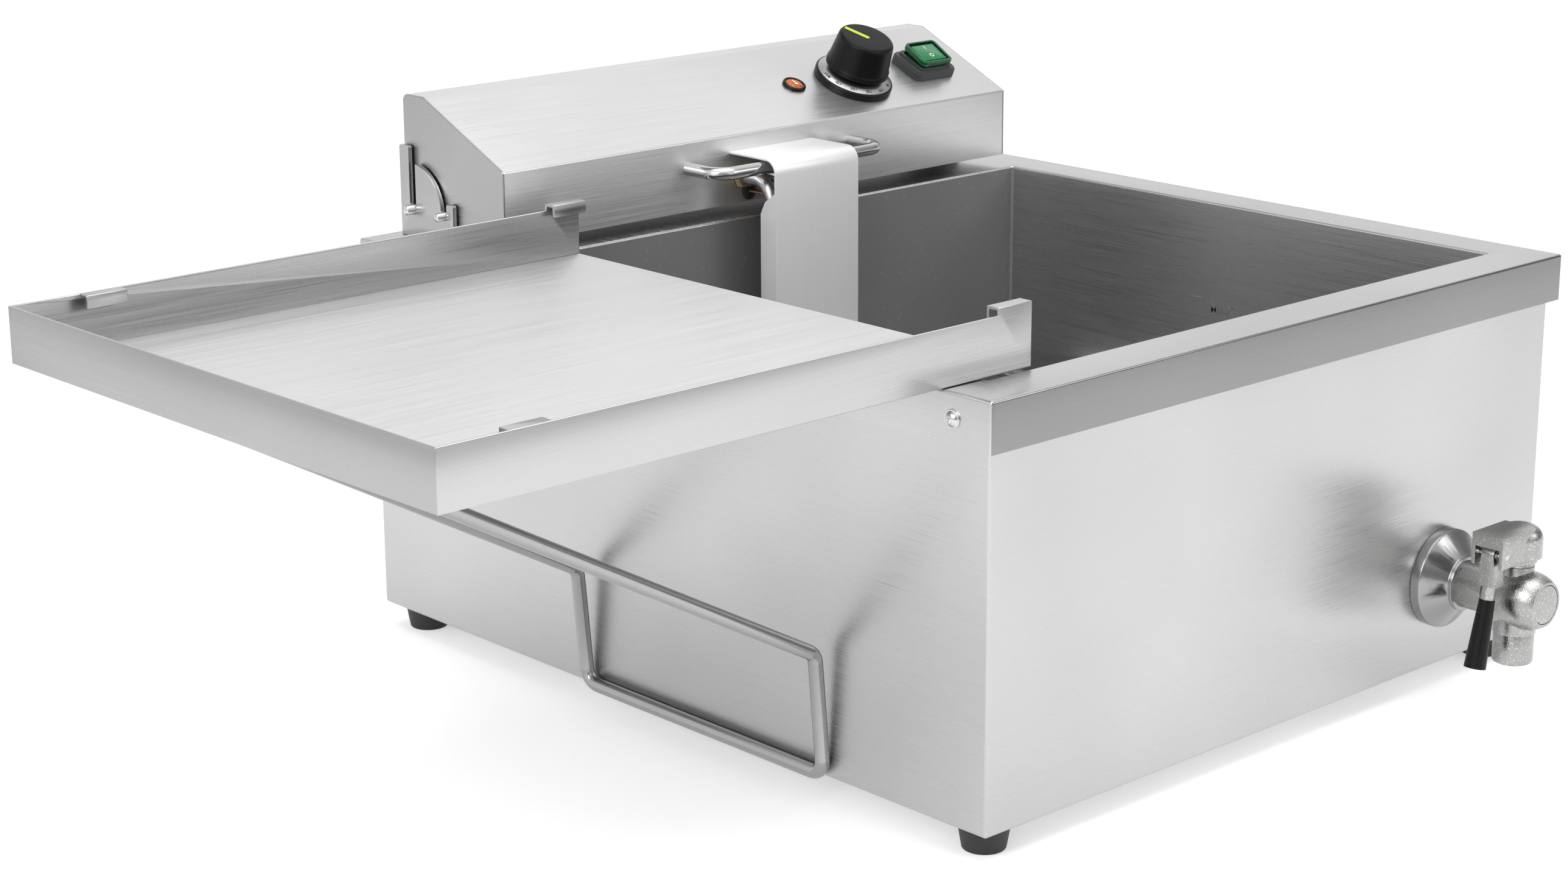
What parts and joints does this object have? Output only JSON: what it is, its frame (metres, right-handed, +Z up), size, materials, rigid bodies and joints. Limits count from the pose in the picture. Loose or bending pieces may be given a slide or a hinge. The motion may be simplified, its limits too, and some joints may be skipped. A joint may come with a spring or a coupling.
{
  "type": "countertop donut fryer",
  "caption": "Countertop electric fryer for doughnuts: boxed oil tank with drain valve, tilting control head with heating elements, and a side draining tray on a wire brace.",
  "frame": {"origin": "centre of the object's footprint, tray and valve included, at the underside of the feet", "axes": "+X from the draining tray's side to the valve's side, +Y from the front to the control head at the back, +Z up"},
  "size_m": [0.7882, 0.597, 0.3466],
  "materials": {
    "casing": "brushed",
    "tank": "satin, matte inside",
    "head": "brushed along its length",
    "tray": "plain bright sheet",
    "bright": "polished",
    "heater": "bright tube",
    "valve": "nickel plated, satin cast",
    "brass": "plain",
    "steel": "plain",
    "copper": "drawn",
    "rubber": "matte",
    "black": "satin",
    "knob": "satin",
    "pointer": "matte",
    "dial": "satin, plain numbers",
    "lens": "glossy, translucent",
    "rocker": "glossy, translucent",
    "white": "matte",
    "seal": "matte"
  },
  "bodies": {
    "fryer_body": {"casing": "casing", "base_plate": "steel", "feet": "rubber", "foot_screws": "steel", "oil_tank": "tank", "tank_rim": "tank", "tank_screws": "bright", "hinge_plates": "head", "drain_pipe": "steel", "drain_nut": "brass", "valve_flange": "valve", "valve_body": "valve", "valve_spout": "valve", "valve_end_cap": "valve", "valve_seats": "seal", "valve_gland": "valve"},
    "valve_lever": {"valve_ball": "bright", "valve_stem": "bright", "lever_head": "valve", "lever_set_screw": "bright", "lock_pin": "bright"},
    "lever_grip": {"lever_lock": "valve", "lever_grip": "black"},
    "control_head": {"head_shell": "head", "head_ends": "head", "head_base": "head", "head_back_cover": "head", "cover_screws": "bright", "hinge_pins": "bright", "front_handle": "bright", "handle_nuts": "steel", "element_guard": "head", "heating_elements": "heater", "element_nuts": "brass", "element_straps": "steel", "thermostat_bulbs": "copper", "capillaries": "copper", "capillary_grommet": "rubber", "lamp_bezel": "black", "lamp_lens": "lens", "lamp_body": "white", "dial_flange": "black", "dial_ring": "dial", "thermostat_body": "white", "safety_cutout": "white", "switch_boot": "rubber", "switch_body": "black", "terminal_block": "white", "cable_gland": "black"},
    "thermostat_knob": {"knob": "knob", "knob_pointer": "pointer", "thermostat_shaft": "steel"},
    "power_rocker": {"rocker": "rocker"},
    "draining_tray": {"tray": "tray", "brace_eyelets": "tray"},
    "tray_brace": {"wire_brace": "bright"}
  },
  "joints": [
    {"name": "head_tilt", "type": "hinge", "parent": "fryer_body", "child": "control_head", "pos_m": [0.1509, 0.2715, 0.262], "axis": [-1, 0, 0], "range_deg": [0, 90]},
    {"name": "knob_turn", "type": "hinge", "parent": "control_head", "child": "thermostat_knob", "pos_m": [0.2519, 0.21974, 0.30975], "axis": [0, 0.416, -0.9093], "range_deg": [0, 300]},
    {"name": "rocker_tip", "type": "hinge", "parent": "control_head", "child": "power_rocker", "pos_m": [0.3184, 0.22035, 0.31443], "axis": [-1, 0, 0], "range_deg": [0, 12]},
    {"name": "lever_turn", "type": "hinge", "parent": "fryer_body", "child": "valve_lever", "pos_m": [0.2939, -0.2785, 0.069], "axis": [0, 0, 1], "range_deg": [0, 90]},
    {"name": "grip_fold", "type": "hinge", "parent": "valve_lever", "child": "lever_grip", "pos_m": [0.2676, -0.2785, 0.1001], "axis": [0, 1, 0], "range_deg": [0, 81]},
    {"name": "tray_lift", "type": "slide", "parent": "fryer_body", "child": "draining_tray", "axis": [0, 0, 1], "range_m": [0, 0.22]},
    {"name": "brace_swing", "type": "hinge", "parent": "draining_tray", "child": "tray_brace", "pos_m": [-0.3721, 0.0305, 0.2403], "axis": [0, 1, 0], "range_deg": [0, 52.02]}
  ],
  "couplings": [
    {"joint": "brace_swing", "follows": "tray_lift", "rad_per_m": 4.119}
  ]
}
